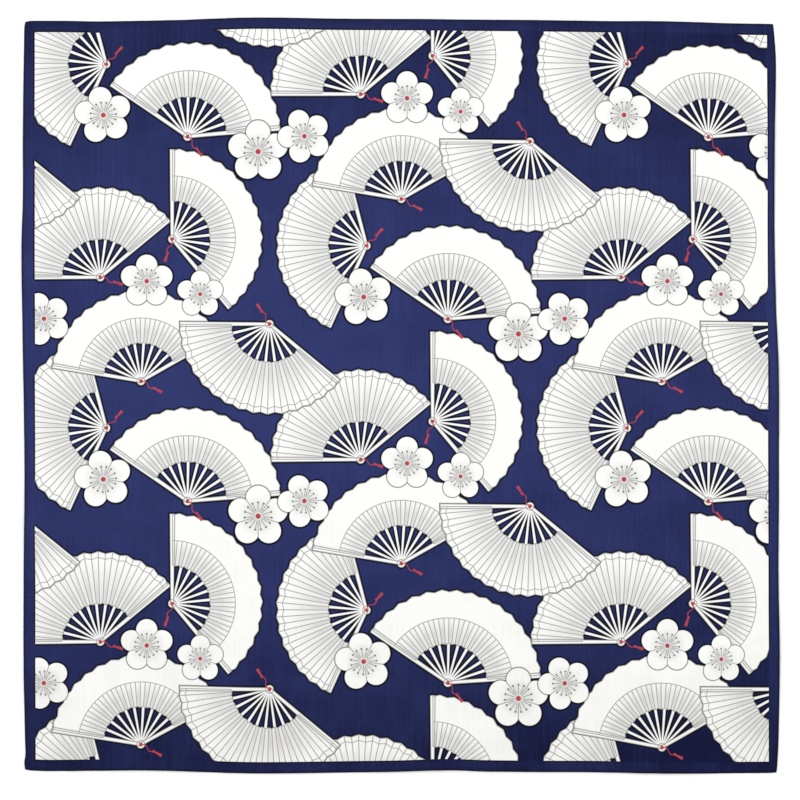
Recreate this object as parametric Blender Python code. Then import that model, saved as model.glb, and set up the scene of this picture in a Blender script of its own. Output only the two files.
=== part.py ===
"""A furoshiki, a Japanese wrapping cloth, spread out flat: one square of cotton with a narrow hem all round.

It is one solid, with the hem in it. Its outline bows in and out as such a cloth lies, its underside rests
flat at z = 0, and a few soft ridges lift off the surface, most of them at the edges. Metres, +Z up, +Y
towards the cloth's top edge. The origin is under the middle of the cloth, on the surface that it lies on.
"""

import math
from bisect import bisect_right
from collections import namedtuple

import bmesh
import bpy

NAME = "cloth"

# Driving dimensions
WIDTH = 1.042  # finished cloth, left edge to right edge
LENGTH = 1.0386  # finished cloth, bottom edge to top edge
CLOTH_THICK = 0.0012
HEM_THICK = 0.0020  # three layers, pressed
HEM_WIDTH = 0.005
CORNER_THICK = 0.0026  # where two hems are turned over each other
HEM_STEP = 0.002  # the slope from the hem down to the single cloth
EDGE_ROUND = 0.0006  # how far the hem's top face stands back from its rounded edge
UNDER_ROUND = 0.0004  # the same under the hem
RIM_HEIGHT = 0.55  # where the rounded edge reaches furthest out, as a share of its thickness
BOW_REACH = 0.20  # how far into the cloth a bow of its edge still shows
FIELD_CELLS = 36  # grid cells across the cloth inside the hem
MM = 0.001

# The looks of the plain solid
COTTON_COLOUR = (0.42, 0.43, 0.47, 1.0)  # the mean of the navy ground and the off-white print
COTTON_ROUGHNESS = 0.9
SHARP_FROM = math.radians(40)  # faces that meet more sharply than this are shaded apart

# How far each edge bows out (+) or in (-), in millimetres, at shares of its length.
# The top and bottom edges run from left to right, the left and right edges from top to bottom.
Bow = namedtuple("Bow", "along out_mm")
TOP_BOWS = (
    Bow(0.00, -0.3),
    Bow(0.05, -0.4),
    Bow(0.10, -1.3),
    Bow(0.20, 0.4),
    Bow(0.25, 2.4),
    Bow(0.31, 3.7),
    Bow(0.45, 2.3),
    Bow(0.60, 1.2),
    Bow(0.75, -0.6),
    Bow(0.85, -1.2),
    Bow(0.93, -3.5),
    Bow(1.00, -4.7),
)
BOTTOM_BOWS = (
    Bow(0.00, -2.0),
    Bow(0.03, -0.9),
    Bow(0.08, -1.2),
    Bow(0.17, -2.1),
    Bow(0.29, 2.1),
    Bow(0.36, 1.9),
    Bow(0.48, 0.1),
    Bow(0.56, -2.3),
    Bow(0.62, -0.3),
    Bow(0.76, 0.7),
    Bow(0.88, 2.4),
    Bow(1.00, 1.7),
)
LEFT_BOWS = (
    Bow(0.00, -0.8),
    Bow(0.10, 0.6),
    Bow(0.24, 1.2),
    Bow(0.30, 2.8),
    Bow(0.41, 1.7),
    Bow(0.50, -0.1),
    Bow(0.65, -1.3),
    Bow(0.74, 0.0),
    Bow(0.86, -0.1),
    Bow(0.96, -1.7),
    Bow(0.979, -2.4),
    Bow(0.988, -1.0),
    Bow(1.00, -0.8),
)
RIGHT_BOWS = (
    Bow(0.00, -5.6),
    Bow(0.05, -2.0),
    Bow(0.16, -4.0),
    Bow(0.30, -3.8),
    Bow(0.38, -1.9),
    Bow(0.46, 1.4),
    Bow(0.62, 2.1),
    Bow(0.73, 1.4),
    Bow(0.84, 2.9),
    Bow(0.95, 1.8),
    Bow(1.00, -0.6),
)

# How far each corner's point is blunted towards the cloth's middle, in millimetres.
Corner = namedtuple("Corner", "x_side y_side blunt_mm")
CORNERS = (
    Corner(-1, 1, 1.6),
    Corner(1, 1, 0.3),
    Corner(1, -1, 0.8),
    Corner(-1, -1, 1.2),
)
CORNER_REACH = 0.009  # how far along the edges a blunt corner reaches

# Soft ridges where the cloth doesn't touch the surface: the middle of each in metres, the way it runs in
# degrees from +X, half its length and half its width in metres, and its height in millimetres. Along an edge
# they meet at their feet, so that the cloth touches the surface at its corners and over most of its middle.
Ridge = namedtuple("Ridge", "x y turn half_long half_wide height_mm")
RIDGES = (
    # Top edge
    Ridge(-0.350, 0.520, 96, 0.150, 0.120, 1.3),
    Ridge(-0.190, 0.520, 80, 0.210, 0.110, 2.6),
    Ridge(0.010, 0.525, 93, 0.160, 0.130, 1.5),
    Ridge(0.195, 0.520, 104, 0.190, 0.110, 2.2),
    Ridge(0.370, 0.520, 84, 0.140, 0.100, 1.2),
    # Right edge
    Ridge(0.525, 0.350, 12, 0.160, 0.115, 2.3),
    Ridge(0.525, 0.170, -6, 0.140, 0.110, 1.4),
    Ridge(0.525, 0.010, -20, 0.200, 0.110, 2.6),
    Ridge(0.525, -0.180, 8, 0.150, 0.120, 1.3),
    Ridge(0.525, -0.350, 24, 0.190, 0.105, 2.2),
    # Bottom edge
    Ridge(0.350, -0.520, 70, 0.180, 0.110, 2.4),
    Ridge(0.190, -0.520, 94, 0.140, 0.110, 1.4),
    Ridge(0.030, -0.520, 102, 0.180, 0.115, 2.7),
    Ridge(-0.150, -0.520, 86, 0.140, 0.115, 1.3),
    Ridge(-0.340, -0.520, 98, 0.170, 0.125, 2.3),
    # Left edge
    Ridge(-0.525, -0.350, -10, 0.150, 0.110, 1.5),
    Ridge(-0.525, -0.180, 7, 0.190, 0.115, 2.4),
    Ridge(-0.525, 0.010, -4, 0.140, 0.120, 1.3),
    Ridge(-0.525, 0.190, 12, 0.180, 0.115, 2.1),
    Ridge(-0.525, 0.360, -16, 0.160, 0.105, 1.6),
    # The middle
    Ridge(-0.270, 0.200, -48, 0.230, 0.075, 1.3),
    Ridge(0.250, 0.270, -40, 0.210, 0.080, 1.2),
    Ridge(0.240, -0.210, -52, 0.220, 0.075, 1.4),
    Ridge(-0.250, -0.260, -38, 0.220, 0.080, 1.2),
)


def bow(bows, along):
    """Reads the smooth curve through an edge's bows at a share of its length, in metres."""
    last = len(bows) - 1
    i = min(max(bisect_right([b.along for b in bows], along) - 1, 0), last - 1)
    before, start, end, after = (bows[min(max(k, 0), last)] for k in (i - 1, i, i + 1, i + 2))
    span = end.along - start.along
    start_slope = (end.out_mm - before.out_mm) / (end.along - before.along)
    end_slope = (after.out_mm - start.out_mm) / (after.along - start.along)
    t = (along - start.along) / span
    rise = t * t * (3 - 2 * t)
    out_mm = start.out_mm * (1 - rise) + end.out_mm * rise
    out_mm += span * t * (1 - t) * (start_slope * (1 - t) - end_slope * t)
    return out_mm * MM


def fade(distance, reach):
    """Falls smoothly from 1 at no distance to 0 at reach."""
    share = min(distance / reach, 1.0)
    return (1 - share * share) ** 2


def bowed(x, y):
    """Where a point of the square-cut cloth lies once its edges have bowed and its corners are blunt."""
    across, down = x / WIDTH + 0.5, 0.5 - y / LENGTH
    out_x = bow(RIGHT_BOWS, down) * fade(WIDTH / 2 - x, BOW_REACH)
    out_x -= bow(LEFT_BOWS, down) * fade(WIDTH / 2 + x, BOW_REACH)
    out_y = bow(TOP_BOWS, across) * fade(LENGTH / 2 - y, BOW_REACH)
    out_y -= bow(BOTTOM_BOWS, across) * fade(LENGTH / 2 + y, BOW_REACH)
    for c in CORNERS:
        away = math.hypot(c.x_side * WIDTH / 2 - x, c.y_side * LENGTH / 2 - y)
        pull = c.blunt_mm * MM * fade(away, CORNER_REACH)
        out_x -= c.x_side * pull
        out_y -= c.y_side * pull
    return x + out_x, y + out_y


def lift(x, y):
    """How far the cloth's underside stands off the surface at a point."""
    height = 0.0
    for r in RIDGES:
        turn = math.radians(r.turn)
        dx, dy = x - r.x, y - r.y
        along = abs(dx * math.cos(turn) + dy * math.sin(turn))
        aside = abs(dy * math.cos(turn) - dx * math.sin(turn))
        height += r.height_mm * MM * fade(along, r.half_long) * fade(aside, r.half_wide)
    return height


def thickness(x, y):
    """The thickness at a point of the square-cut cloth: in a corner, the hem, its step or the field."""
    edge_x, edge_y = WIDTH / 2 - abs(x), LENGTH / 2 - abs(y)
    if max(edge_x, edge_y) <= HEM_WIDTH:
        return CORNER_THICK
    into_step = min(max((min(edge_x, edge_y) - HEM_WIDTH) / HEM_STEP, 0.0), 1.0)
    return HEM_THICK + (CLOTH_THICK - HEM_THICK) * into_step


def grid_lines(size, rounding):
    """The places of the grid's lines across one side: its rounded edges, hems, their steps and the field."""
    field_edge = size / 2 - HEM_WIDTH - HEM_STEP
    hem = [size / 2 - rounding, size / 2 - HEM_WIDTH]
    field = [field_edge * (2 * i / FIELD_CELLS - 1) for i in range(FIELD_CELLS + 1)]
    return [-place for place in hem] + field + hem[::-1]


def add_face_grid(bm, rounding, is_top):
    """Adds the cloth's top face or underside, and returns its points by column and row."""
    columns = []
    for x in grid_lines(WIDTH, rounding):
        column = []
        for y in grid_lines(LENGTH, rounding):
            thick = thickness(x, y) if is_top else 0.0
            column.append(bm.verts.new((*bowed(x, y), lift(x, y) + thick)))
        columns.append(column)
    for left, right in zip(columns, columns[1:]):
        for i in range(len(left) - 1):
            corners = (left[i], right[i], right[i + 1], left[i + 1])
            bm.faces.new(corners if is_top else corners[::-1])
    return columns


def rim_of(columns):
    """The points round the outside of a grid, anticlockwise from its lower left corner."""
    bottom = [column[0] for column in columns]
    right = columns[-1][1:]
    top = [column[-1] for column in columns[-2::-1]]
    left = columns[0][-2:0:-1]
    return bottom + right + top + left


def add_rounded_edge(bm, top_rim, under_rim):
    """Closes the cloth with an edge that reaches furthest out between the top face and the underside."""
    xs, ys = grid_lines(WIDTH, 0.0), grid_lines(LENGTH, 0.0)
    places = [(x, ys[0]) for x in xs]
    places += [(xs[-1], y) for y in ys[1:]]
    places += [(x, ys[-1]) for x in xs[-2::-1]]
    places += [(xs[0], y) for y in ys[-2:0:-1]]
    edge = []
    for x, y in places:
        edge.append(bm.verts.new((*bowed(x, y), lift(x, y) + RIM_HEIGHT * thickness(x, y))))
    count = len(edge)
    for i in range(count):
        j = (i + 1) % count
        bm.faces.new((top_rim[i], edge[i], edge[j], top_rim[j]))
        bm.faces.new((edge[i], under_rim[i], under_rim[j], edge[j]))


def centre_on_origin(bm):
    """Moves the cloth sideways so that the middle of its outline is over the origin."""
    for axis in (0, 1):
        places = [v.co[axis] for v in bm.verts]
        middle = (min(places) + max(places)) / 2
        for v in bm.verts:
            v.co[axis] -= middle


def cotton_material():
    """Matt printed cotton, in one colour."""
    material = bpy.data.materials.new("printed_cotton")
    material.use_nodes = True
    shader = material.node_tree.nodes["Principled BSDF"]
    shader.inputs["Base Color"].default_value = COTTON_COLOUR
    shader.inputs["Roughness"].default_value = COTTON_ROUGHNESS
    shader.inputs["Metallic"].default_value = 0.0
    return material


def make_cloth():
    """The whole cloth, one closed solid over the origin."""
    bm = bmesh.new()
    top = add_face_grid(bm, EDGE_ROUND, is_top=True)
    under = add_face_grid(bm, UNDER_ROUND, is_top=False)
    add_rounded_edge(bm, rim_of(top), rim_of(under))
    centre_on_origin(bm)
    mesh = bpy.data.meshes.new(NAME)
    bm.to_mesh(mesh)
    bm.free()
    mesh.shade_smooth()
    mesh.set_sharp_from_angle(angle=SHARP_FROM)
    mesh.materials.append(cotton_material())
    cloth = bpy.data.objects.new(NAME, mesh)
    bpy.context.scene.collection.objects.link(cloth)
    return cloth


for old in list(bpy.data.objects):
    bpy.data.objects.remove(old)
make_cloth()
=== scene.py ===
"""The looks of the furoshiki: thin printed cotton with a stitched hem, and the floor, light and camera.

The sheet lies on the folds of the solid in the frame and has the same outline. Metres, +Z up, +Y towards
the cloth's top edge, with the origin on the surface under the middle of the cloth. The print's sizes are in
millimetres.
"""

import math
from bisect import bisect_right
from collections import namedtuple

import bmesh
import bpy
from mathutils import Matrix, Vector, noise


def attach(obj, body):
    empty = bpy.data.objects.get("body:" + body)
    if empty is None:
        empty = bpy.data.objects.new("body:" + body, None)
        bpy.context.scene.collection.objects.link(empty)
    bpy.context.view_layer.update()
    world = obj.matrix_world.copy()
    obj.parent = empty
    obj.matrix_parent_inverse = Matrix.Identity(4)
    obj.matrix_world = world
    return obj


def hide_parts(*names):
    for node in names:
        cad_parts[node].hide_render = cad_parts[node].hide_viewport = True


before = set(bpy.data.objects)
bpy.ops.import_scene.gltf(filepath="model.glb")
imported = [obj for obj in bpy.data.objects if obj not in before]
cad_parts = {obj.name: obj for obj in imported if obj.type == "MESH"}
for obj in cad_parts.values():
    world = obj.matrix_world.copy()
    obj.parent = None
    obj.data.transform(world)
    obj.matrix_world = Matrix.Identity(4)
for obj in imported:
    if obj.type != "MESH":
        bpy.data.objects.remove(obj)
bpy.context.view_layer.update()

MM = 0.001

# The finished cloth
WIDTH = 1.042  # left edge to right edge
LENGTH = 1.0386  # bottom edge to top edge
CLOTH = 0.45 * MM  # thickness of one layer of the cotton
LAYER_GAP = 0.04 * MM  # between the layers of the hem
HEM_WIDTH = 5 * MM
HEM_OFF_FLOOR = 0.2 * MM  # the stitches under the hem hold it off the surface
RAW_EDGE_INSET = 0.95 * MM  # where the cut edge ends inside the hem
SLOPE_TOP = 4.4 * MM  # the sheet slopes down from the hem between these two distances from the edge
SLOPE_FOOT = 8.8 * MM
SLOPE_SHARES = (0.18, 0.36, 0.54, 0.72, 0.88, 1.0)
FIELD_INSET = 12 * MM  # the rings of the hem's mesh end here, and the even grid of the field begins
FIELD_CELLS = 164  # grid cells across the field
CORNER_BULK = 0.35  # how much thicker the hem is where two turnings cross
CORNER_BULK_REACH = 8 * MM
BOW_REACH = 0.20  # how far into the cloth a bow of its edge still shows
CORNER_REACH = 9 * MM  # how far along the edges a blunt corner reaches
OUTER_TURN_STEPS = 6  # round the finished edge
INNER_TURN_STEPS = 4  # round the fold inside the hem
SHARP_FROM = math.radians(60)  # faces that meet more sharply than this are shaded apart

# How far each edge bows out (+) or in (-), in millimetres, at shares of its length.
# The top and bottom edges run from left to right, the left and right edges from top to bottom.
Bow = namedtuple("Bow", "along out_mm")
TOP_BOWS = (
    Bow(0.00, -0.3),
    Bow(0.05, -0.4),
    Bow(0.10, -1.3),
    Bow(0.20, 0.4),
    Bow(0.25, 2.4),
    Bow(0.31, 3.7),
    Bow(0.45, 2.3),
    Bow(0.60, 1.2),
    Bow(0.75, -0.6),
    Bow(0.85, -1.2),
    Bow(0.93, -3.5),
    Bow(1.00, -4.7),
)
BOTTOM_BOWS = (
    Bow(0.00, -2.0),
    Bow(0.03, -0.9),
    Bow(0.08, -1.2),
    Bow(0.17, -2.1),
    Bow(0.29, 2.1),
    Bow(0.36, 1.9),
    Bow(0.48, 0.1),
    Bow(0.56, -2.3),
    Bow(0.62, -0.3),
    Bow(0.76, 0.7),
    Bow(0.88, 2.4),
    Bow(1.00, 1.7),
)
LEFT_BOWS = (
    Bow(0.00, -0.8),
    Bow(0.10, 0.6),
    Bow(0.24, 1.2),
    Bow(0.30, 2.8),
    Bow(0.41, 1.7),
    Bow(0.50, -0.1),
    Bow(0.65, -1.3),
    Bow(0.74, 0.0),
    Bow(0.86, -0.1),
    Bow(0.96, -1.7),
    Bow(0.979, -2.4),
    Bow(0.988, -1.0),
    Bow(1.00, -0.8),
)
RIGHT_BOWS = (
    Bow(0.00, -5.6),
    Bow(0.05, -2.0),
    Bow(0.16, -4.0),
    Bow(0.30, -3.8),
    Bow(0.38, -1.9),
    Bow(0.46, 1.4),
    Bow(0.62, 2.1),
    Bow(0.73, 1.4),
    Bow(0.84, 2.9),
    Bow(0.95, 1.8),
    Bow(1.00, -0.6),
)

# How far each corner's point is blunted towards the cloth's middle, in millimetres.
Corner = namedtuple("Corner", "x_side y_side blunt_mm")
CORNERS = (
    Corner(-1, 1, 1.6),
    Corner(1, 1, 0.3),
    Corner(1, -1, 0.8),
    Corner(-1, -1, 1.2),
)

# Soft ridges where the cloth doesn't touch the surface: the middle of each in metres, the way it runs in
# degrees from +X, half its length and half its width in metres, and its height in millimetres.
Ridge = namedtuple("Ridge", "x y turn half_long half_wide height_mm")
RIDGES = (
    # Top edge
    Ridge(-0.350, 0.520, 96, 0.150, 0.120, 1.3),
    Ridge(-0.190, 0.520, 80, 0.210, 0.110, 2.6),
    Ridge(0.010, 0.525, 93, 0.160, 0.130, 1.5),
    Ridge(0.195, 0.520, 104, 0.190, 0.110, 2.2),
    Ridge(0.370, 0.520, 84, 0.140, 0.100, 1.2),
    # Right edge
    Ridge(0.525, 0.350, 12, 0.160, 0.115, 2.3),
    Ridge(0.525, 0.170, -6, 0.140, 0.110, 1.4),
    Ridge(0.525, 0.010, -20, 0.200, 0.110, 2.6),
    Ridge(0.525, -0.180, 8, 0.150, 0.120, 1.3),
    Ridge(0.525, -0.350, 24, 0.190, 0.105, 2.2),
    # Bottom edge
    Ridge(0.350, -0.520, 70, 0.180, 0.110, 2.4),
    Ridge(0.190, -0.520, 94, 0.140, 0.110, 1.4),
    Ridge(0.030, -0.520, 102, 0.180, 0.115, 2.7),
    Ridge(-0.150, -0.520, 86, 0.140, 0.115, 1.3),
    Ridge(-0.340, -0.520, 98, 0.170, 0.125, 2.3),
    # Left edge
    Ridge(-0.525, -0.350, -10, 0.150, 0.110, 1.5),
    Ridge(-0.525, -0.180, 7, 0.190, 0.115, 2.4),
    Ridge(-0.525, 0.010, -4, 0.140, 0.120, 1.3),
    Ridge(-0.525, 0.190, 12, 0.180, 0.115, 2.1),
    Ridge(-0.525, 0.360, -16, 0.160, 0.105, 1.6),
    # The middle
    Ridge(-0.270, 0.200, -48, 0.230, 0.075, 1.3),
    Ridge(0.250, 0.270, -40, 0.210, 0.080, 1.2),
    Ridge(0.240, -0.210, -52, 0.220, 0.075, 1.4),
    Ridge(-0.250, -0.260, -38, 0.220, 0.080, 1.2),
)

# Smaller creases on top of those, most of them along the bottom edge, where the cloth lies least flat.
CREASES = (
    Ridge(-0.330, -0.430, -3, 0.070, 0.028, 2.4),
    Ridge(-0.215, -0.471, 5, 0.065, 0.024, 2.8),
    Ridge(-0.055, -0.458, -5, 0.075, 0.028, 3.4),
    Ridge(0.140, -0.466, 4, 0.080, 0.026, 2.2),
    Ridge(0.310, -0.442, -6, 0.070, 0.026, 3.0),
    Ridge(0.440, -0.368, 24, 0.080, 0.032, 2.2),
    Ridge(-0.440, -0.440, 50, 0.090, 0.030, 1.2),
    Ridge(-0.300, 0.470, -8, 0.080, 0.026, 0.7),
    Ridge(0.300, 0.465, 6, 0.090, 0.028, 0.7),
    Ridge(-0.470, 0.120, 84, 0.090, 0.030, 0.6),
    Ridge(0.100, 0.050, -35, 0.130, 0.040, 0.5),
)

# The cotton's own unevenness: hills of this wavelength and height, with the sheet flat between them.
Swell = namedtuple("Swell", "wavelength height")
SWELLS = (
    Swell(0.075, 0.60 * MM),
    Swell(0.032, 0.30 * MM),
)
PUCKER = Swell(0.026, 0.35 * MM)  # along the hem, which its stitches draw up a little
PUCKER_REACH = 18 * MM
NOISE_LAYER = 100  # each swell reads the noise this many times its own height up, so no two are alike

# The sides of the cloth, anticlockwise, each from one corner to the next by their signs.
Side = namedtuple("Side", "x_from y_from x_to y_to upright")
SIDES = (
    Side(-1, -1, 1, -1, False),
    Side(1, -1, 1, 1, True),
    Side(1, 1, -1, 1, False),
    Side(-1, 1, -1, -1, True),
)

# Stitches of the hem, one row on each face of the cloth
SEAM_INSET = 4 * MM
STITCH_PITCH = 3 * MM
STITCH_LENGTH = 2.5 * MM
STITCH_SLANT = 0.10 * MM  # how far each end stands aside of the seam
STITCH_ARCH = 0.16 * MM  # how far the middle stands above the ends
STITCH_SINK = 0.06 * MM  # how far the ends are sunk in the cotton
STITCH_STEPS = 6
THREAD_RADIUS = 0.10 * MM
THREAD_SIDES = 5
THREAD_TAPER = 0.4  # the lower, the longer a stitch keeps its full thickness towards its ends

# The picture that an export bakes the sheet into: the printed face has most of it, the reverse is beside it.
BAKE_MAP = "OFBake"
CHART_REACH = WIDTH / 2 + 11.5 * MM  # from the cloth's middle to beyond its cut edge
CHART_MARGIN = 0.005  # left empty at the foot and the head of the picture
PRINTED_CHART = (0.005, 0.70)  # where the face starts across the picture, and its share of it
REVERSE_CHART = (0.725, 0.27)
STITCH_CELLS = 53  # each stitch has a cell of its own in their picture, and there are this many each way
STITCH_CELL_MARGIN = 0.05

# The print, in millimetres on the flat cut cloth from its middle
PRINT_LEFT = -505.3  # at half height: both sides of the print lean, and are further right at the bottom
PRINT_LEFT_LEAN = 0.0014
PRINT_RIGHT = 508.0
PRINT_RIGHT_LEAN = 0.0025
PRINT_TOP = 503.7
PRINT_BOTTOM = -503.7
REPEAT_ACROSS = 360.0
REPEAT_UP = 504.0  # every other column of the print is half of this lower
INK_SOFT = 0.35  # how far an edge of ink spreads in the cotton
OUTLINE = 1.9  # the dark line round a motif on the navy ground
OUTLINE_ON_WHITE = 1.2  # and the grey one where it lies over another motif
LINE_DARK = 0.9  # how dark a line inside a motif is, from 0 to 1
SOFT_LINE_DARK = 0.85

# The motifs of one repeat, by their places, their turns in degrees anticlockwise, and their scales. Each
# lies over the ones before it.
Motif = namedtuple("Motif", "kind x y turn scale")
MOTIFS = (
    Motif("pleated_fan", -75, -33, 20, 1.12),
    Motif("banded_fan", 99, -15, -70, 1.12),
    Motif("pleated_fan", -105, 213, 85, 1.12),
    Motif("banded_fan", 81, 165, -15, 1.16),
    Motif("banded_fan", -9, -174, 10, 1.12),
    Motif("pleated_fan", 159, -207, 160, 1.12),
    Motif("plum_blossom", -51, 137, 10, 1.36),
    Motif("plum_blossom", 9, -93, 0, 1.26),
    Motif("plum_blossom", 163, 86, 0, 1.45),
    Motif("plum_blossom", -133, -145, 20, 1.26),
    Motif("plum_blossom", 83, -111, 0, 1.11),
)

# The folding fan, by distances from its rivet
FAN_RADIUS = 112.0
FAN_HUB = 46.0  # where its paper begins
FAN_BAND = 78.0  # where the plain band of a banded fan begins
FAN_SPREAD = math.radians(70)  # from its middle to each side
FAN_RIVET_DROP = 52.0  # from the motif's middle down to the rivet
FAN_PLEATS = 30
RIM_NOTCH = 2.6  # how far the rim of the paper stands in at every second pleat
HUB_NOTCH = 1.4
CREASE_HALF_WIDTH = 0.52
TRIM_INSET = 7.5  # of the line inside the rim of a pleated fan
TRIM_HALF_WIDTH = 0.5
WASH_RIM = FAN_RADIUS - 14  # a grey wash begins here, or at the band of a banded fan,
WASH_HUB = FAN_HUB + 16  # and is at its full strength from here down to the hub
WASH_DARK = 0.19
SHADED_PLEAT_DARK = 0.15  # what every second pleat has on top of that
PLEAT_SOFT = 0.03  # of a pleat's width
PAPER_LINE_INSET = 0.4  # of the line that follows the edge of the paper
PAPER_LINE_HALF_WIDTH = 0.5
PAPER_LINE_REACH = 0.6  # how far beyond the paper that line is drawn

# The fan's sticks and rivet
RIB_STEP = 3  # pleats from rib to rib
RIB_HALF_WIDTH = 0.9  # at the rivet
RIB_WIDENING = 0.016
RIB_UNDER_PAPER = 0.5
RIB_PAST_SIDE = 1.5
GUARD_HALF_WIDTH = 2.0  # at the rivet
GUARD_WIDENING = 0.010
GUARD_TAIL = 7.0  # how far the guard sticks go on past the rivet
GUARD_LENGTH = FAN_RADIUS - 1.0
GUARD_LINE_INSET = 0.3
GUARD_LINE_HALF_WIDTH = 0.42
RIVET_RADIUS = 5.2
RIVET_LINE_INSET = 0.3
RIVET_LINE_HALF_WIDTH = 0.5
RIVET_RED_RADIUS = 2.3

# The fan's cord and tassel
CORD_TURN = math.radians(-38)
CORD_LENGTH = 18.0
CORD_WAVE = 2.2
CORD_HALF_WIDTH = 0.55
KNOT_RADIUS = 1.6
TASSEL_LENGTH = 11.0
TASSEL_HALF_WIDTH = 0.8  # at the knot
TASSEL_WIDENING = 0.10

# The plum blossom
PETALS = 5
PETAL_MIDDLE = 17.5  # from the blossom's middle to that of a petal
PETAL_RADIUS = 11.6
HEART_SHARE = 0.8  # how far towards the petals' middles the blossom is filled between them
SPLIT_START = 5.5  # the lines between the petals begin here
SPLIT_HALF_WIDTH = 0.45
STAMENS = 15
STAMEN_START = 4.0
STAMEN_LENGTH = 12.5
STAMEN_HALF_WIDTH = 0.42
STAMEN_SOFT = 0.25
STAMEN_TIP_RADIUS = 1.15
STAMEN_TIP_OFF = 0.5  # from the end of the stalk to the middle of the tip
BLUSH_DARK = 0.32  # the soft grey round the heart
BLUSH_OUTER = 20.0
BLUSH_INNER = 6.0
HEART_RED_RADIUS = 2.5

# Inks and bare cotton, as shares of the light that they return
# The paler navy stands both for random fading and for painted light, and the duller white both for random
# duller patches and for painted shade.
Inks = namedtuple("Inks", "navy faded_navy white dull_white outline grey red")
PRINTED_INKS = Inks(
    navy=(0.0040, 0.0056, 0.034),
    faded_navy=(0.0257, 0.0344, 0.134),
    white=(0.842, 0.842, 0.822),
    dull_white=(0.775, 0.768, 0.740),
    outline=(0.002, 0.002, 0.006),
    grey=(0.20, 0.20, 0.195),
    red=(0.42, 0.052, 0.064),
)
REVERSE_INKS = Inks(
    navy=(0.077, 0.085, 0.191),
    faded_navy=(0.160, 0.178, 0.300),
    white=(0.78, 0.78, 0.76),
    dull_white=(0.70, 0.69, 0.66),
    outline=(0.080, 0.085, 0.140),
    grey=(0.48, 0.48, 0.47),
    red=(0.56, 0.190, 0.195),
)
HEM_PAINTED_SHADE_REACH = 6.0  # painted shade: how far from the finished edge, in millimetres, the navy is painted darker, where the rounded hem turns from the light
HEM_PAINTED_SHADE_DEPTH = 0.9

# How unevenly the cotton has taken and lost its dye: noise whose hills are this far apart across and up
# the cloth, in millimetres, with this much detail and this strong
Grain = namedtuple("Grain", "across up detail strength")
GRAINS = (
    Grain(3.5, 90, 1.0, 0.36),  # streaks
    Grain(70, 55, 3.0, 0.70),  # patches
    Grain(0.9, 9, 0.0, 0.30),  # single yarns
)

# Painted light: the navy is paler in a band across the cloth, as if lit more there, and deeper near the
# bottom and the corners.
PAINTED_LIGHT_MIDDLE = 35  # how high the middle of the band is, in millimetres
PAINTED_LIGHT_REACH = 540  # the band's painted light falls off over this distance from its middle
PAINTED_LIGHT_MOST = 0.89
PAINTED_LIGHT_LOSS = 0.73
SIDE_PAINTED_SHADE = 0.18  # how much darker the sides are painted than the middle of the band
PAINTED_LIGHT_LEAN = 0.00023  # painted light: how much lighter the left is than the right, for each millimetre across
FADE_PATCHES = 0.78  # how much the cotton's unevenness shows in the navy
BORDER_WIDTH = 15
BORDER_PAINTED_LIGHT = 0.12  # painted light: how much lighter the plain border is than the ground inside it,
BORDER_PAINTED_LIGHT_LEAN = 0.00020  # and how much more again for each millimetre to the right
BORDER_SOFT = 2
PAINTED_SHADE_BELOW = 430  # painted shade: the white is darker further than this below the middle
PAINTED_SHADE_REACH = 800
DULL_AND_SHADE_SOFT = 0.2

# The surfaces of the cotton, the thread and the floor
INK_ROUGHNESS = 0.80
BARE_ROUGHNESS = 0.92
COTTON_SPECULAR = 0.08
COTTON_SHEEN = 0.03
COTTON_SHEEN_ROUGHNESS = 0.5
WEAVE_PITCH = 0.9  # across two yarns, in millimetres
WEAVE_DEPTH = 0.030
SLUB_WIDTH = 1.6  # a slub is a yarn's thicker part
SLUB_LENGTH = 40
SLUB_DEPTH = 0.035
TWIST_PITCH = 0.4  # millimetres along the thread
TWIST_DEPTH = 0.03
# The thread's colour in the grooves of its twist, which is painted shade, and on its crests, which is
# painted highlight
THREAD_GROOVE_SHADE = (0.008, 0.009, 0.045)
THREAD_CREST_HIGHLIGHT = (0.020, 0.025, 0.095)
THREAD_ROUGHNESS = 0.60
TWIST_ROUGHNESS = 0.2
THREAD_SPECULAR = 0.2
FLOOR_COLOUR = (0.93, 0.93, 0.93, 1.0)
FLOOR_ROUGHNESS = 0.95
FLOOR_SPECULAR = 0.1

# Looking straight down at the middle of the photograph's view
CAMERA_PLACE = (-0.0008, -0.0060, 2.459)
CAMERA_LENS = 80.0
CAMERA_SENSOR = 36.0

# Soft studio lights: where each is, what it points at, the sides of its square and its power in watts
Lamp = namedtuple("Lamp", "name place target size watts")
LAMPS = (
    Lamp("key_softbox", (-2.60, 2.10, 4.60), (0.0, 0.0, 0.0), 2.6, 140),
    Lamp("fill_softbox", (1.50, 0.25, 3.40), (0.0, 0.0, 0.0), 1.4, 29),
)
ROOM_LIGHT = 0.67
FLOOR_SIZE = 30.0
FLOOR_DROP = 0.05 * MM  # below the underside of the cloth


# ---- The shape of the sheet ----


def bow(bows, along):
    """Reads the smooth curve through an edge's bows at a share of its length, in metres."""
    last = len(bows) - 1
    i = min(max(bisect_right([b.along for b in bows], along) - 1, 0), last - 1)
    before, start, end, after = (bows[min(max(k, 0), last)] for k in (i - 1, i, i + 1, i + 2))
    span = end.along - start.along
    start_slope = (end.out_mm - before.out_mm) / (end.along - before.along)
    end_slope = (after.out_mm - start.out_mm) / (after.along - start.along)
    t = (along - start.along) / span
    rise = t * t * (3 - 2 * t)
    out_mm = start.out_mm * (1 - rise) + end.out_mm * rise
    out_mm += span * t * (1 - t) * (start_slope * (1 - t) - end_slope * t)
    return out_mm * MM


def fade(distance, reach):
    """Falls smoothly from 1 at no distance to 0 at reach."""
    share = min(max(distance / reach, 0.0), 1.0)
    return (1 - share * share) ** 2


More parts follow.
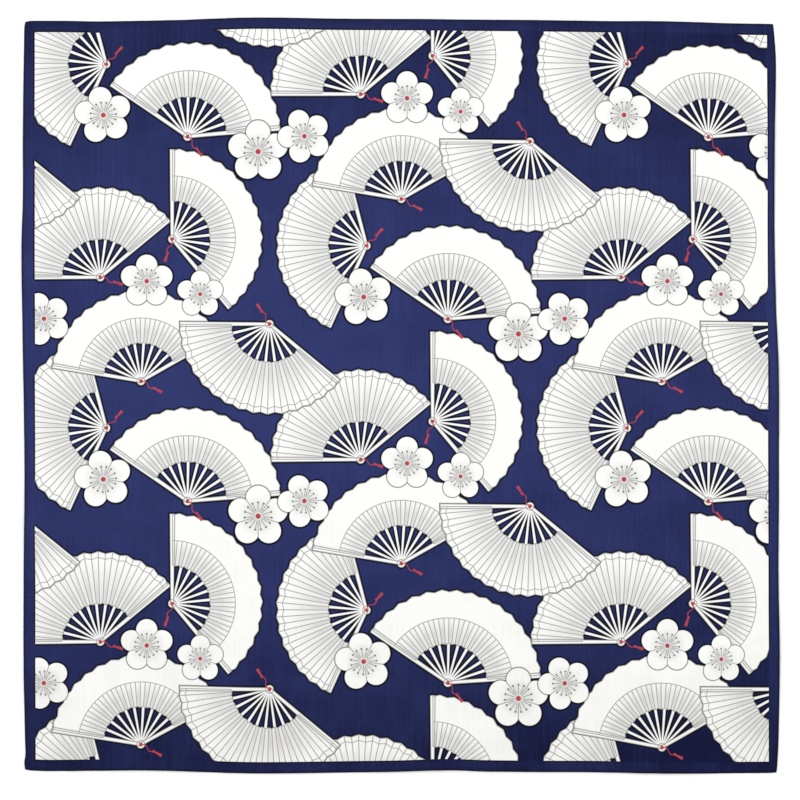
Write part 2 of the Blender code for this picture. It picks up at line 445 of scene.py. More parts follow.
def sideways(x, y):
    """How far the bows of the left and right edges move a point of the square-cut cloth, to the right."""
    down = min(max(0.5 - y / LENGTH, 0.0), 1.0)
    rightwards = bow(RIGHT_BOWS, down) * fade(WIDTH / 2 - x, BOW_REACH)
    leftwards = bow(LEFT_BOWS, down) * fade(WIDTH / 2 + x, BOW_REACH)
    return rightwards - leftwards


def bowed(x, y):
    """Where a point of the square-cut cloth lies once its edges have bowed and its corners are blunt."""
    across = x / WIDTH + 0.5
    out_x = sideways(x, y)
    out_y = bow(TOP_BOWS, across) * fade(LENGTH / 2 - y, BOW_REACH)
    out_y -= bow(BOTTOM_BOWS, across) * fade(LENGTH / 2 + y, BOW_REACH)
    for c in CORNERS:
        away = math.hypot(c.x_side * WIDTH / 2 - x, c.y_side * LENGTH / 2 - y)
        pull = c.blunt_mm * MM * fade(away, CORNER_REACH)
        out_x -= c.x_side * pull
        out_y -= c.y_side * pull
    return x + out_x, y + out_y


def perimeter(inset):
    """Points round a square inset from the cloth's edge, anticlockwise from its lower left corner."""
    points = []
    for side in SIDES:
        for i in range(FIELD_CELLS):
            share = i / FIELD_CELLS
            x_sign = side.x_from + (side.x_to - side.x_from) * share
            y_sign = side.y_from + (side.y_to - side.y_from) * share
            points.append((x_sign * (WIDTH / 2 - inset), y_sign * (LENGTH / 2 - inset)))
    return points


def outline_middle():
    """The middle of the finished outline's box, which goes over the origin."""
    xs, ys = zip(*(bowed(x, y) for x, y in perimeter(0.0)))
    return (min(xs) + max(xs)) / 2, (min(ys) + max(ys)) / 2


OUTLINE_MIDDLE = outline_middle()


def ridge_height(ridges, x, y):
    """How far some ridges together lift the cloth at a point."""
    height = 0.0
    for r in ridges:
        turn = math.radians(r.turn)
        dx, dy = x - r.x, y - r.y
        along = abs(dx * math.cos(turn) + dy * math.sin(turn))
        aside = abs(dy * math.cos(turn) - dx * math.sin(turn))
        height += r.height_mm * MM * fade(along, r.half_long) * fade(aside, r.half_wide)
    return height


def swell_height(swell, x, y):
    """The height of a swell's hills at a point, and 0 between them."""
    hill = noise.noise(Vector((x, y, swell.height * NOISE_LAYER)) / swell.wavelength)
    return swell.height * max(hill * 2, 0.0) ** 2


def lift(x, y):
    """How far the sheet's underside stands off the surface at a point."""
    edge = min(WIDTH / 2 - abs(x), LENGTH / 2 - abs(y))
    height = ridge_height(RIDGES, x, y) + ridge_height(CREASES, x, y)
    height += sum(swell_height(swell, x, y) for swell in SWELLS)
    return height + swell_height(PUCKER, x, y) * fade(edge, PUCKER_REACH)


def hem_bulk(x, y):
    """How many times as thick as a plain hem the cloth is at a point, which is over 1 at a corner."""
    further = max(WIDTH / 2 - abs(x), LENGTH / 2 - abs(y))
    return 1 + CORNER_BULK * fade(further - HEM_WIDTH, CORNER_BULK_REACH - HEM_WIDTH)


def laid(x, y, height):
    """Where a point of the square-cut cloth lies, from its height in a plain hem on a level surface."""
    middle_x, middle_y = OUTLINE_MIDDLE
    laid_x, laid_y = bowed(x, y)
    return laid_x - middle_x, laid_y - middle_y, height * hem_bulk(x, y) + lift(x, y)


# ---- The cross-section of the hem ----

# A point of the cross-section: how far in from the finished edge, how high, and how far beyond the finished
# edge it was on the flat cut cloth, which is negative for what is inside that edge.
Profile = namedtuple("Profile", "inset height cut")


def arc(inset, height, radius, start, end, steps):
    """Points of an arc in the cross-section, by angles in degrees that turn outwards from straight up."""
    angles = [math.radians(start + (end - start) * i / steps) for i in range(steps + 1)]
    return [(inset - radius * math.sin(a), height + radius * math.cos(a)) for a in angles]


def hem_path():
    """The middle of the cotton: up over the hem, round and under it, and back between to the cut edge."""
    step = CLOTH + LAYER_GAP
    bottom = HEM_OFF_FLOOR + CLOTH / 2
    top = bottom + 2 * step
    half_way = HEM_WIDTH / 2
    flat = CLOTH / 2
    path = [(FIELD_INSET, flat), (SLOPE_FOOT, flat)]
    for share in SLOPE_SHARES:
        climb = share * share * (3 - 2 * share)
        path.append((SLOPE_FOOT + (SLOPE_TOP - SLOPE_FOOT) * share, flat + (top - flat) * climb))
    path.append((half_way, top))
    path += arc(step + CLOTH / 2, bottom + step, step, 0, 180, OUTER_TURN_STEPS)
    path.append((half_way, bottom))
    fold_middle = HEM_WIDTH - (step + CLOTH) / 2
    path += arc(fold_middle, bottom + step / 2, step / 2, 180, 360, INNER_TURN_STEPS)
    path += [(half_way, bottom + step), (RAW_EDGE_INSET, bottom + step)]
    return path


def hem_profiles():
    """The cross-section on the printed face and on the reverse, each half the thickness off the middle."""
    path = hem_path()
    printed, reverse = [], []
    cut = -FIELD_INSET
    for i, (inset, height) in enumerate(path):
        before, after = path[max(i - 1, 0)], path[min(i + 1, len(path) - 1)]
        if i > 0:
            cut += math.dist(before, path[i])
        span = math.dist(before, after)
        off_inset = (after[1] - before[1]) / span * CLOTH / 2
        off_height = (before[0] - after[0]) / span * CLOTH / 2
        printed.append(Profile(inset + off_inset, height + off_height, cut))
        reverse.append(Profile(inset - off_inset, height - off_height, cut))
    return printed, reverse


# ---- The mesh of the sheet ----

Maps = namedtuple("Maps", "pattern bake cut", defaults=(None,))


def print_place(cut_x, cut_y):
    """Where a point of the cut cloth is in the print, whose sides are straight though the hems bow."""
    return cut_x + sideways(cut_x, cut_y), cut_y


def bake_place(cut_x, cut_y, is_printed):
    """Where a point of the cut cloth is in the picture for baking."""
    start, share = PRINTED_CHART if is_printed else REVERSE_CHART
    across, up = 0.5 + cut_x / (2 * CHART_REACH), 0.5 + cut_y / (2 * CHART_REACH)
    return start + across * share, CHART_MARGIN + up * (1 - 2 * CHART_MARGIN)


def add_face(bm, maps, corners, places, is_printed):
    """Adds a face of the sheet, from corners that go round the printed face and their places when flat."""
    if not is_printed:
        corners, places = corners[::-1], places[::-1]
    face = bm.faces.new(corners)
    face.smooth = True
    face.material_index = 0 if is_printed else 1
    for loop, place in zip(face.loops, places):
        loop[maps.pattern].uv = print_place(*place)
        loop[maps.bake].uv = bake_place(*place, is_printed)
        loop[maps.cut].uv = place


def field_lines(size):
    """The places of the field's grid lines across one side of the cloth."""
    edge = size / 2 - FIELD_INSET
    return [edge * (2 * i / FIELD_CELLS - 1) for i in range(FIELD_CELLS + 1)]


def add_field(bm, maps, height, is_printed):
    """Adds the even grid inside the hem, and returns the points round it."""
    xs, ys = field_lines(WIDTH), field_lines(LENGTH)
    columns = [[bm.verts.new(laid(x, y, height)) for y in ys] for x in xs]
    for i in range(FIELD_CELLS):
        for j in range(FIELD_CELLS):
            steps = ((i, j), (i + 1, j), (i + 1, j + 1), (i, j + 1))
            corners = [columns[a][b] for a, b in steps]
            add_face(bm, maps, corners, [(xs[a], ys[b]) for a, b in steps], is_printed)
    bottom = [column[0] for column in columns]
    right = columns[-1][1:]
    top = [column[-1] for column in columns[-2::-1]]
    left = columns[0][-2:0:-1]
    return bottom + right + top + left


def cut_place(side, share, profile):
    """Where a point of the hem was on the cut cloth, a share of the way along one side."""
    x_reach = WIDTH / 2 + (profile.cut if side.upright else -profile.inset)
    y_reach = LENGTH / 2 + (-profile.inset if side.upright else profile.cut)
    x_sign = side.x_from + (side.x_to - side.x_from) * share
    y_sign = side.y_from + (side.y_to - side.y_from) * share
    return x_sign * x_reach, y_sign * y_reach


def add_strip(bm, maps, rings, profiles, is_printed):
    """Joins two rings of points, the one nearer the field along the cotton first."""
    inner, outer = rings
    near, far = profiles
    for k in range(len(inner)):
        following = (k + 1) % len(inner)
        number, step = divmod(k, FIELD_CELLS)
        side, start, end = SIDES[number], step / FIELD_CELLS, (step + 1) / FIELD_CELLS
        corners = [inner[k], outer[k], outer[following], inner[following]]
        steps = ((start, near), (start, far), (end, far), (end, near))
        add_face(bm, maps, corners, [cut_place(side, *step) for step in steps], is_printed)


def add_hem(bm, maps, ring, profiles, is_printed):
    """Adds one face of the cotton through the hem, from the ring round the field, and returns its end."""
    for near, far in zip(profiles, profiles[1:]):
        following = [bm.verts.new(laid(x, y, far.height)) for x, y in perimeter(far.inset)]
        add_strip(bm, maps, (ring, following), (near, far), is_printed)
        ring = following
    return ring


def new_object(name, bm, materials):
    """Makes an object of a finished mesh."""
    mesh = bpy.data.meshes.new(name)
    bm.to_mesh(mesh)
    bm.free()
    mesh.set_sharp_from_angle(angle=SHARP_FROM)
    mesh.uv_layers[0].active_render = True
    for material in materials:
        mesh.materials.append(material)
    obj = bpy.data.objects.new(name, mesh)
    bpy.context.scene.collection.objects.link(obj)
    return obj


def make_sheet(materials):
    """The whole cloth, one closed sheet of cotton: printed face, reverse and the cut edge in the hem."""
    bm = bmesh.new()
    maps = Maps(*(bm.loops.layers.uv.new(name) for name in ("print", BAKE_MAP, "cut")))
    printed, reverse = hem_profiles()
    printed_end = add_hem(bm, maps, add_field(bm, maps, CLOTH, True), printed, True)
    reverse_end = add_hem(bm, maps, add_field(bm, maps, 0.0, False), reverse, False)
    # In the maps, the cut edge goes on from the printed face by the cotton's thickness.
    cut_edge = (printed[-1], printed[-1]._replace(cut=printed[-1].cut + CLOTH))
    add_strip(bm, maps, (printed_end, reverse_end), cut_edge, True)
    return new_object("furoshiki_sheet", bm, materials)


# ---- The stitches ----


def stitch_rings(bm, side, along, surface, up):
    """The points of one stitch, ring by ring: an arched thread that ends in a point in the cotton."""
    run_x, run_y = (side.x_to - side.x_from) / 2, (side.y_to - side.y_from) / 2
    out_x, out_y = run_y, -run_x
    seam = (WIDTH if side.upright else LENGTH) / 2 - SEAM_INSET
    rings = []
    for i in range(STITCH_STEPS + 1):
        angle = math.pi * i / STITCH_STEPS
        here = along - math.cos(angle) * STITCH_LENGTH / 2
        aside = seam - math.cos(angle) * STITCH_SLANT
        x, y, z = laid(run_x * here + out_x * aside, run_y * here + out_y * aside, surface)
        arch = STITCH_ARCH * math.sin(angle) - STITCH_SINK
        if i in (0, STITCH_STEPS):
            rings.append([bm.verts.new((x, y, z + up * arch))] * THREAD_SIDES)
            continue
        radius = THREAD_RADIUS * math.sin(angle) ** THREAD_TAPER
        ring = []
        for k in range(THREAD_SIDES):
            turn = 2 * math.pi * k / THREAD_SIDES
            outward, upward = radius * math.cos(turn), arch + radius * math.sin(turn)
            ring.append(bm.verts.new((x + out_x * outward, y + out_y * outward, z + up * upward)))
        rings.append(ring)
    return rings


def in_cell(number, share):
    """Where a point of a stitch is across or up its picture, a share of the way over the stitch's cell."""
    inside = STITCH_CELL_MARGIN + (1 - 2 * STITCH_CELL_MARGIN) * share
    return (number + inside) / STITCH_CELLS


def add_stitch(bm, maps, rings, number):
    """Closes a stitch's rings into a thread, which has a cell of its own in the picture for baking."""
    row, column = divmod(number, STITCH_CELLS)
    for i in range(STITCH_STEPS):
        for k in range(THREAD_SIDES):
            following = (k + 1) % THREAD_SIDES
            # At the thread's ends two of these corners are one point, which leaves a triangle.
            steps = {
                rings[i][k]: (i, k),
                rings[i + 1][k]: (i + 1, k),
                rings[i + 1][following]: (i + 1, k + 1),
                rings[i][following]: (i, k + 1),
            }
            face = bm.faces.new(list(steps))
            face.smooth = True
            for loop in face.loops:
                step, turn = steps[loop.vert]
                along, around = step / STITCH_STEPS, turn / THREAD_SIDES
                loop[maps.pattern].uv = (along * STITCH_LENGTH, around)
                loop[maps.bake].uv = (in_cell(column, along), in_cell(row, around))


def make_stitches(material):
    """One row of stitches on each face of the hem, all round the cloth."""
    bm = bmesh.new()
    maps = Maps(bm.loops.layers.uv.new("thread"), bm.loops.layers.uv.new(BAKE_MAP))
    top_face = HEM_OFF_FLOOR + 3 * CLOTH + 2 * LAYER_GAP
    number = 0
    for side in SIDES:
        reach = (LENGTH if side.upright else WIDTH) / 2 - SEAM_INSET
        count = int(2 * reach / STITCH_PITCH) - 1
        for i in range(count):
            along = (i - count / 2) * STITCH_PITCH
            over = stitch_rings(bm, side, along, top_face, 1)
            add_stitch(bm, maps, over, number)
            under = stitch_rings(bm, side, along + STITCH_PITCH / 2, HEM_OFF_FLOOR, -1)
            add_stitch(bm, maps, under, number + 1)
            number += 2
    bmesh.ops.recalc_face_normals(bm, faces=bm.faces)
    return new_object("hem_stitches", bm, [material])


# ---- Formulas in nodes ----


class Value:
    """What nodes work out at each point of a surface. Arithmetic on Values adds the nodes that do it."""

    def __init__(self, socket):
        self.socket = socket

    def __add__(self, other):
        return compute("ADD", self, other)

    def __radd__(self, other):
        return compute("ADD", other, self)

    def __sub__(self, other):
        return compute("SUBTRACT", self, other)

    def __rsub__(self, other):
        return compute("SUBTRACT", other, self)

    def __mul__(self, other):
        return compute("MULTIPLY", self, other)

    def __rmul__(self, other):
        return compute("MULTIPLY", other, self)

    def __abs__(self):
        return compute("ABSOLUTE", self)


def feed(socket, value):
    """Links a Value to a socket, or sets the socket to a plain number, vector or colour."""
    if isinstance(value, Value):
        socket.id_data.links.new(value.socket, socket)
    else:
        socket.default_value = value


def add_node(kind, *values, **settings):
    """Adds a node to the tree of these Values, feeds its inputs in order, and returns its output."""
    tree = next(value for value in values if isinstance(value, Value)).socket.id_data
    node = tree.nodes.new(kind)
    for name, setting in settings.items():
        setattr(node, name, setting)
    for socket, value in zip([s for s in node.inputs if s.enabled], values):
        feed(socket, value)
    return Value(next(s for s in node.outputs if s.enabled))


def compute(operation, *values, clamp=False):
    """What a Math node works out from Values and numbers."""
    return add_node("ShaderNodeMath", *values, operation=operation, use_clamp=clamp)


def least(first, *others):
    """The least of some Values and numbers."""
    for other in others:
        first = compute("MINIMUM", first, other)
    return first


def most(first, *others):
    """The most of some Values and numbers."""
    for other in others:
        first = compute("MAXIMUM", first, other)
    return first


def distance(x, y):
    """How far a point is from the middle."""
    return compute("SQRT", compute("MULTIPLY_ADD", x, x, y * y))


def wrapped(value, span):
    """The value less the whole spans that bring it nearest to zero."""
    return compute("WRAP", value, span / 2, -span / 2)


def off_nearest(value, step):
    """How far the value is from the nearest multiple of a step."""
    return compute("PINGPONG", value, step / 2)


def ramp(value, low, high):
    """Goes from 0 to 1 as the value goes from low to high, which may be the lower of the two."""
    return compute("MULTIPLY_ADD", value, 1 / (high - low), -low / (high - low), clamp=True)


def fill(depth, soft=INK_SOFT):
    """1 inside a shape, where its depth is above zero, and 0 outside, with a soft edge."""
    return ramp(depth, -soft, soft)


def stroke(off_line, half_width):
    """1 on a line and 0 away from it, by how far a point is off its middle."""
    return fill(half_width - abs(off_line))


def vector_of(x, y, z):
    """A vector of three Values or numbers."""
    return add_node("ShaderNodeCombineXYZ", x, y, z)


def parts_of(vector):
    """The three numbers of a vector or colour."""
    first = add_node("ShaderNodeSeparateXYZ", vector)
    return [Value(socket) for socket in first.socket.node.outputs]


def mixed(kind, share, start, end):
    """Mixes two colours, of kind "RGBA", or two vectors, of kind "VECTOR"."""
    return add_node("ShaderNodeMix", share, start, end, data_type=kind)


def colour_mix(share, start, end):
    """Mixes two colours, each a Value or three numbers."""
    start, end = (c if isinstance(c, Value) else (*c, 1.0) for c in (start, end))
    return mixed("RGBA", share, start, end)


def speckle(across, up, detail=0.0):
    """Soft noise from 0 to 1, with hills about one unit apart."""
    place = vector_of(across, up, 0.0)
    scale = 1.0
    return add_node("ShaderNodeTexNoise", place, scale, detail, noise_dimensions="2D")


# ---- The print ----

# The ink at a point is a vector: how white it is, how dark its lines are, and how red.


def lay(ink, body, dark, red):
    """Lays a motif over the ink so far: a dark outline round its body, and its own inks inside."""
    whiteness, _, _ = parts_of(ink)
    outline = fill(body + (OUTLINE - whiteness * (OUTLINE - OUTLINE_ON_WHITE)))
    outlined = add_node("ShaderNodeVectorMath", ink, vector_of(0.0, outline, 0.0), operation="MAXIMUM")
    return mixed("VECTOR", fill(body), outlined, vector_of(1.0, dark, red))


def draw_pleated_fan(ink, across, up):
    """A fan whose paper is pleated up to the rim."""
    return draw_fan(ink, across, up, FAN_RADIUS)


def draw_banded_fan(ink, across, up):
    """A fan whose paper has a plain band along the rim."""
    return draw_fan(ink, across, up, FAN_BAND)


# What is worked out at a point of a fan's paper: how far it is from the rivet, which pleat it is on and how
# wide that is there, and how deep the point is inside the rim, the hub, the sides and all of them.
Paper = namedtuple("Paper", "from_rivet pleat pleat_width to_rim to_hub to_side depth")


def draw_fan(ink, across, up, pleats_end):
    """A folding fan spread wide: pleated paper, thin ribs, two guard sticks, a rivet and a red cord."""
    up = up + FAN_RIVET_DROP
    paper = fan_paper(across, up)
    guard = guard_stick(abs(across), up)
    rivet = RIVET_RADIUS - paper.from_rivet
    guard_line = stroke(abs(guard) - GUARD_LINE_INSET, GUARD_LINE_HALF_WIDTH)
    rivet_line = stroke(rivet - RIVET_LINE_INSET, RIVET_LINE_HALF_WIDTH)
    dark = most(paper_lines(paper, pleats_end), SOFT_LINE_DARK * guard_line, LINE_DARK * rivet_line)
    body = most(paper.depth, fan_rib(paper), guard, rivet)
    ink = lay(ink, body, dark, fill(RIVET_RED_RADIUS - paper.from_rivet))
    return add_cord(ink, across, up)


def fan_paper(across, up):
    """A fan's pleated paper, from how far across and up a point is from the rivet."""
    from_rivet = distance(across, up)
    angle = compute("ARCTAN2", across, up)
    pleat = angle * (FAN_PLEATS / 2 / FAN_SPREAD)
    pleat_width = from_rivet * (2 * FAN_SPREAD / FAN_PLEATS)
    notch = off_nearest(pleat, 2)
    to_rim = (FAN_RADIUS - RIM_NOTCH * notch) - from_rivet
    to_hub = from_rivet - (FAN_HUB + HUB_NOTCH * notch)
    to_side = (FAN_SPREAD - abs(angle)) * from_rivet
    return Paper(from_rivet, pleat, pleat_width, to_rim, to_hub, to_side, least(to_rim, to_hub, to_side))


def paper_lines(paper, pleats_end):
    """How dark a fan's paper is: its creases, wash and trim, and the line that follows its edge."""
    off_crease = off_nearest(paper.pleat, 1) * paper.pleat_width
    crease = fill(least(CREASE_HALF_WIDTH - off_crease, pleats_end - paper.from_rivet))
    shaded_pleat = fill(0.5 - off_nearest(paper.pleat + 0.5, 2), PLEAT_SOFT)
    wash = ramp(paper.from_rivet, min(pleats_end, WASH_RIM), WASH_HUB)
    wash = wash * (WASH_DARK + SHADED_PLEAT_DARK * shaded_pleat)
    off_trim = paper.to_rim - TRIM_INSET if pleats_end == FAN_RADIUS else paper.from_rivet - pleats_end
    trim = stroke(off_trim, TRIM_HALF_WIDTH)
    dark = fill(paper.depth) * most(LINE_DARK * crease, wash, SOFT_LINE_DARK * trim)
    edge_line = stroke(paper.depth - PAPER_LINE_INSET, PAPER_LINE_HALF_WIDTH)
    return most(dark, LINE_DARK * edge_line * fill(paper.depth + PAPER_LINE_REACH))


def fan_rib(paper):
    """The depth in a fan's ribs, which reach from the rivet to just under the paper."""
    half_width = RIB_HALF_WIDTH + RIB_WIDENING * paper.from_rivet
    off_rib = off_nearest(paper.pleat, RIB_STEP) * paper.pleat_width
    return least(half_width - off_rib, RIB_UNDER_PAPER - paper.to_hub, paper.to_side + RIB_PAST_SIDE)


def guard_stick(across, up):
    """The depth in the two outer sticks of a fan, from how far a point is to either side of its rivet."""
    lean_across, lean_up = math.cos(FAN_SPREAD), math.sin(FAN_SPREAD)
    aside = across * lean_across - up * lean_up
    along = across * lean_up + up * lean_across
    half_width = GUARD_HALF_WIDTH + GUARD_WIDENING * along
    return least(half_width - abs(aside), along + GUARD_TAIL, GUARD_LENGTH - along)


def add_cord(ink, across, up):
    """A fan's red cord, which waves from its rivet to a small tassel."""
    lean_across, lean_up = math.cos(CORD_TURN), math.sin(CORD_TURN)
    along = across * lean_across + up * lean_up
    aside = up * lean_across - across * lean_up
    wave = aside - CORD_WAVE * compute("SINE", along * (2 * math.pi / CORD_LENGTH))
    cord = least(CORD_HALF_WIDTH - abs(wave), along, CORD_LENGTH - along)
    down_tassel = along - CORD_LENGTH
    half_width = TASSEL_HALF_WIDTH + TASSEL_WIDENING * down_tassel
    tassel = least(half_width - abs(aside), down_tassel, TASSEL_LENGTH - down_tassel)
    knot = KNOT_RADIUS - distance(down_tassel, aside)
    red = vector_of(0.0, 0.0, fill(most(cord, tassel, knot)))
    return add_node("ShaderNodeVectorMath", ink, red, operation="MAXIMUM")


def draw_blossom(ink, across, up):
    """A plum blossom from the front: round petals, a ring of stamens and a red heart."""
    petal_turn = 2 * math.pi / PETALS
    from_middle = distance(across, up)
    angle = compute("ARCTAN2", across, up)
    turn = wrapped(angle, petal_turn)
    petal_across = from_middle * compute("SINE", turn)
    petal_up = from_middle * compute("COSINE", turn)
    petal = PETAL_RADIUS - distance(petal_across, petal_up - PETAL_MIDDLE)
    body = most(petal, HEART_SHARE * PETAL_MIDDLE - from_middle)
    off_split = from_middle * compute("SINE", petal_turn / 2 - abs(turn))
    split = LINE_DARK * stroke(off_split, SPLIT_HALF_WIDTH) * fill(from_middle - SPLIT_START)
    blush = BLUSH_DARK * ramp(from_middle, BLUSH_OUTER, BLUSH_INNER)
    dark = most(split, blush, stamens(from_middle, angle))
    return lay(ink, body, dark, fill(HEART_RED_RADIUS - from_middle))


def stamens(from_middle, angle):
    """How dark the stamens of a blossom are, from how far a point is from its middle and on which side."""
    turn = wrapped(angle, 2 * math.pi / STAMENS)
    aside = abs(from_middle * compute("SINE", turn))
    in_stalk = least(STAMEN_HALF_WIDTH - aside, from_middle - STAMEN_START, STAMEN_LENGTH - from_middle)
    stalk = fill(in_stalk, STAMEN_SOFT)
    tip = fill(STAMEN_TIP_RADIUS - distance(aside, from_middle - STAMEN_LENGTH - STAMEN_TIP_OFF))
    return most(LINE_DARK * stalk, tip)


def new_group(name, inputs):
    """Starts a node group that gives an ink, and returns it with its inputs."""
    tree = bpy.data.node_groups.new(name, "ShaderNodeTree")
    for label in inputs:
        kind = "NodeSocketVector" if label == "Ink" else "NodeSocketFloat"
        tree.interface.new_socket(label, in_out="INPUT", socket_type=kind)
    tree.interface.new_socket("Ink", in_out="OUTPUT", socket_type="NodeSocketVector")
    entry = tree.nodes.new("NodeGroupInput")
    return tree, [Value(socket) for socket in entry.outputs[: len(inputs)]]


def motif_group(name, draw):
    """A node group that draws one motif over the ink so far, at a point of the motif's own plane."""
    tree, inputs = new_group(name, ("Ink", "Across", "Up"))
    feed(tree.nodes.new("NodeGroupOutput").inputs[0], draw(*inputs))
    return tree


def on_motif(across, up, motif):
    """Where a point of the print is on the nearest copy of a motif, from that copy's middle."""
    turn = math.radians(motif.turn)
    right, rise = math.cos(turn) / motif.scale, math.sin(turn) / motif.scale
    off_across, off_up = across - motif.x, up - motif.y
    column = compute("FLOOR", off_across * (1 / REPEAT_ACROSS) + 0.5)
    off_across = off_across - column * REPEAT_ACROSS
    off_up = wrapped(off_up - column * (REPEAT_UP / 2), REPEAT_UP)
    return off_across * right + off_up * rise, off_up * right - off_across * rise


def print_group():
    """A node group with the whole print: fans and plum blossoms over each other, inside a plain border."""
    drawings = {
        "pleated_fan": draw_pleated_fan,
        "banded_fan": draw_banded_fan,
        "plum_blossom": draw_blossom,
    }
    groups = {kind: motif_group(kind, draw) for kind, draw in drawings.items()}
    tree, (across, up) = new_group("fans_and_blossoms", ("Across", "Up"))
    ink = (0.0, 0.0, 0.0)
    for motif in MOTIFS:
        ink = add_node("ShaderNodeGroup", ink, *on_motif(across, up, motif), node_tree=groups[motif.kind])
    left_edge = PRINT_LEFT - PRINT_LEFT_LEAN * up
    right_edge = PRINT_RIGHT - PRINT_RIGHT_LEAN * up
    inset = least(across - left_edge, right_edge - across, PRINT_TOP - up, up - PRINT_BOTTOM)
    whiteness, _, _ = parts_of(ink)
    round_print = vector_of(0.0, whiteness * fill(inset + OUTLINE), 0.0)
    ink = mixed("VECTOR", fill(inset), round_print, ink)
    feed(tree.nodes.new("NodeGroupOutput").inputs[0], ink)
    return tree


# ---- Materials ----


def new_material(name):
    """Starts a material, and returns it with its shader."""
    material = bpy.data.materials.new(name)
    material.use_nodes = True
    tree = material.node_tree
    tree.nodes.clear()
    output = tree.nodes.new("ShaderNodeOutputMaterial")
    shader = tree.nodes.new("ShaderNodeBsdfPrincipled")
    tree.links.new(shader.outputs[0], output.inputs["Surface"])
    return material, shader


def map_place(material, map_name):
    """How far across and how far up a point is on one of its piece's maps, in millimetres."""
    uv_map = material.node_tree.nodes.new("ShaderNodeUVMap")
    uv_map.uv_map = map_name
    place = add_node("ShaderNodeVectorMath", Value(uv_map.outputs[0]), 1 / MM, operation="SCALE")
    return parts_of(place)[:2]


def unevenness(across, up):
    """How much more or less than its mean the cotton shows its fading at a point."""
    uneven = 0.0
    for grain in GRAINS:
        hills = speckle(across * (1 / grain.across), up * (1 / grain.up), grain.detail)
        uneven = uneven + (hills - 0.5) * grain.strength
    return uneven


def navy_ground(across, up, uneven, inks):
    """The navy, with painted light in a band across the cloth and on its border, random fading from the
    cotton's unevenness, and painted shade along the hem's edge.
    """
    # The band, its sides, its lean and the border's lightness are painted light; the cotton's unevenness is
    # random fading.
    off_band = (up - PAINTED_LIGHT_MIDDLE) * (1 / PAINTED_LIGHT_REACH)
    off_middle = across * (1 / PAINTED_LIGHT_REACH)
    fade_and_painted_light = PAINTED_LIGHT_MOST - off_band * off_band * PAINTED_LIGHT_LOSS - off_middle * off_middle * SIDE_PAINTED_SHADE
    fade_and_painted_light = fade_and_painted_light - across * PAINTED_LIGHT_LEAN + uneven * FADE_PATCHES
    from_edge = least(WIDTH / 2 / MM - abs(across), LENGTH / 2 / MM - abs(up))
    in_border = ramp(from_edge, BORDER_WIDTH + BORDER_SOFT, BORDER_WIDTH - BORDER_SOFT)
    fade_and_painted_light = fade_and_painted_light + in_border * (BORDER_PAINTED_LIGHT + across * BORDER_PAINTED_LIGHT_LEAN)
    navy = colour_mix(ramp(fade_and_painted_light, 0, 1), inks.navy, inks.faded_navy)
    # Painted shade: the navy darkens towards the outline ink near the finished edge, where the rounded hem
    # turns from the light.
    painted_hem_shade = ramp(abs(from_edge), HEM_PAINTED_SHADE_REACH, 0)
    return colour_mix(painted_hem_shade * painted_hem_shade * HEM_PAINTED_SHADE_DEPTH, navy, inks.outline)


def bare_white(up, uneven, inks):
    """The bare cotton of the motifs, duller in random patches and with painted shade that darkens it towards
    the bottom of the cloth.
    """
    # The fall towards the bottom is painted shade; the cotton's unevenness gives random duller patches.
    clean_and_lit = uneven + (up + PAINTED_SHADE_BELOW) * (1 / PAINTED_SHADE_REACH)
    return colour_mix(ramp(clean_and_lit, -DULL_AND_SHADE_SOFT, DULL_AND_SHADE_SOFT), inks.dull_white, inks.white)


def cotton_material(name, inks, group):
    """Matt plain-woven cotton with the print, in the inks that show on one of its faces."""
    material, shader = new_material(name)
    ink = add_node("ShaderNodeGroup", *map_place(material, "print"), node_tree=group)
    whiteness, darkness, redness = parts_of(ink)
    across, up = map_place(material, "cut")
    uneven = unevenness(across, up)
    ground = colour_mix(whiteness, navy_ground(across, up, uneven, inks), bare_white(up, uneven, inks))
    lines = colour_mix(whiteness, inks.outline, inks.grey)
    colour = colour_mix(redness, colour_mix(darkness, ground, lines), inks.red)
    feed(shader.inputs["Base Color"], colour)
    feed(shader.inputs["Roughness"], INK_ROUGHNESS + (BARE_ROUGHNESS - INK_ROUGHNESS) * whiteness)
    shader.inputs["Specular IOR Level"].default_value = COTTON_SPECULAR
    shader.inputs["Sheen Weight"].default_value = COTTON_SHEEN
    shader.inputs["Sheen Roughness"].default_value = COTTON_SHEEN_ROUGHNESS
    feed(shader.inputs["Normal"], weave_bump(across, up))
    return material


def bump(height):
    """The slopes of a relief, from its height in millimetres."""
    strength = filter_width = 1.0
    return add_node("ShaderNodeBump", strength, MM, filter_width, height)


def weave_bump(across, up):
    """The relief of a plain weave, with the thicker yarns that cotton has here and there."""
    turn = 2 * math.pi / WEAVE_PITCH
    threads = compute("SINE", across * turn) * compute("SINE", up * turn)
    upright_slubs = speckle(across * (1 / SLUB_WIDTH), up * (1 / SLUB_LENGTH))
    level_slubs = speckle(across * (1 / SLUB_LENGTH), up * (1 / SLUB_WIDTH))
    return bump(abs(threads) * WEAVE_DEPTH + (upright_slubs + level_slubs) * SLUB_DEPTH)


def thread_material():
    """Navy sewing thread, with its twist, and painted shade in the twist's grooves and painted highlight on
    its crests.
    """
    material, shader = new_material("navy_thread")
    along, around = map_place(material, "thread")
    turned = around * MM  # the map gives this as a share of the way round, and not in metres
    twist = off_nearest(along * (1 / TWIST_PITCH) + turned, 1)
    # The colour is painted shade in the twist's grooves and painted highlight on its crests.
    feed(shader.inputs["Base Color"], colour_mix(2 * twist, THREAD_GROOVE_SHADE, THREAD_CREST_HIGHLIGHT))
    feed(shader.inputs["Roughness"], THREAD_ROUGHNESS + TWIST_ROUGHNESS * twist)
    shader.inputs["Specular IOR Level"].default_value = THREAD_SPECULAR
    feed(shader.inputs["Normal"], bump(twist * TWIST_DEPTH))
    return material


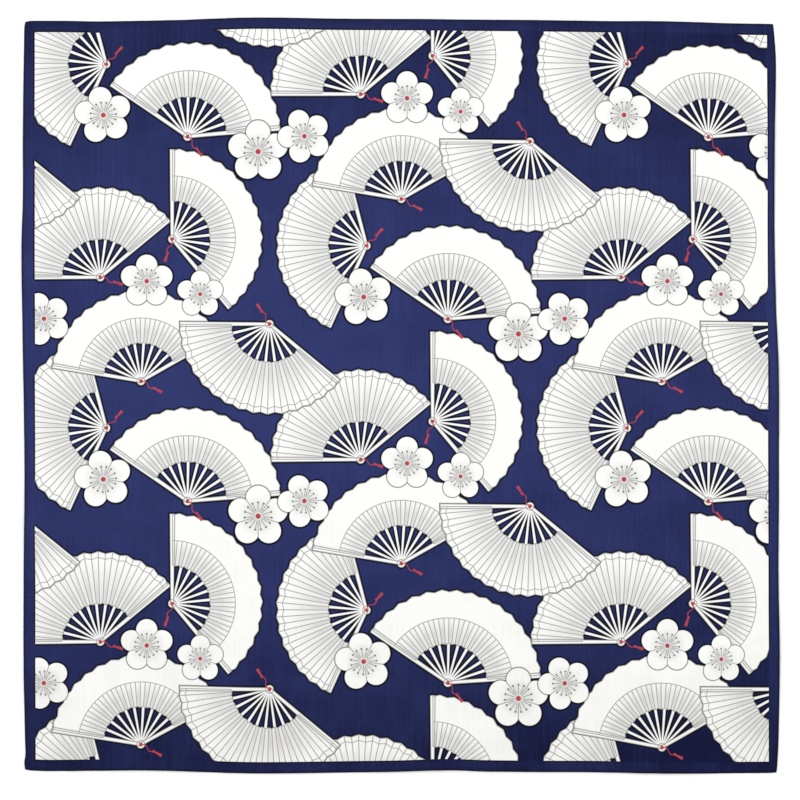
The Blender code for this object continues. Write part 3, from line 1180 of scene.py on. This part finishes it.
def floor_material():
    """Pale matt studio paper."""
    material = bpy.data.materials.new("studio_paper")
    material.use_nodes = True
    shader = material.node_tree.nodes["Principled BSDF"]
    shader.inputs["Base Color"].default_value = FLOOR_COLOUR
    shader.inputs["Roughness"].default_value = FLOOR_ROUGHNESS
    shader.inputs["Specular IOR Level"].default_value = FLOOR_SPECULAR
    return material


# ---- Floor, light and camera ----


def make_floor():
    """A wide level floor, just below the cloth."""
    mesh = bpy.data.meshes.new("floor")
    half = FLOOR_SIZE / 2
    signs = ((-1, -1), (1, -1), (1, 1), (-1, 1))
    corners = [(x_sign * half, y_sign * half, -FLOOR_DROP) for x_sign, y_sign in signs]
    mesh.from_pydata(corners, [], [(0, 1, 2, 3)])
    mesh.materials.append(floor_material())
    floor = bpy.data.objects.new("floor", mesh)
    bpy.context.scene.collection.objects.link(floor)


def make_lamp(lamp):
    """A soft square light, which the camera doesn't see."""
    light = bpy.data.lights.new(lamp.name, "AREA")
    light.size = lamp.size
    light.energy = lamp.watts
    obj = bpy.data.objects.new(lamp.name, light)
    obj.location = lamp.place
    obj.rotation_euler = (Vector(lamp.target) - Vector(lamp.place)).to_track_quat("-Z", "Y").to_euler()
    obj.visible_camera = False
    bpy.context.scene.collection.objects.link(obj)


def make_room_light():
    """An even white light from all round, as in a white studio."""
    world = bpy.data.worlds.new("studio")
    world.use_nodes = True
    background = world.node_tree.nodes["Background"]
    background.inputs["Color"].default_value = (1.0, 1.0, 1.0, 1.0)
    background.inputs["Strength"].default_value = ROOM_LIGHT
    bpy.context.scene.world = world


def make_camera():
    """A camera that looks straight down."""
    camera = bpy.data.objects.new("camera", bpy.data.cameras.new("camera"))
    camera.location = CAMERA_PLACE
    camera.data.lens = CAMERA_LENS
    camera.data.sensor_width = CAMERA_SENSOR
    bpy.context.scene.collection.objects.link(camera)
    bpy.context.scene.camera = camera


def main():
    """Sets up the studio, and makes the cloth and its stitches."""
    make_camera()
    make_floor()
    make_room_light()
    for lamp in LAMPS:
        make_lamp(lamp)
    bpy.context.scene.view_settings.view_transform = "Standard"

    whole_print = print_group()
    printed = cotton_material("printed_cotton_face", PRINTED_INKS, whole_print)
    reverse = cotton_material("printed_cotton_reverse", REVERSE_INKS, whole_print)
    sheet = make_sheet([printed, reverse])
    stitches = make_stitches(thread_material())
    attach(sheet, "root")
    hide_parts("cloth")
    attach(stitches, "root")


main()
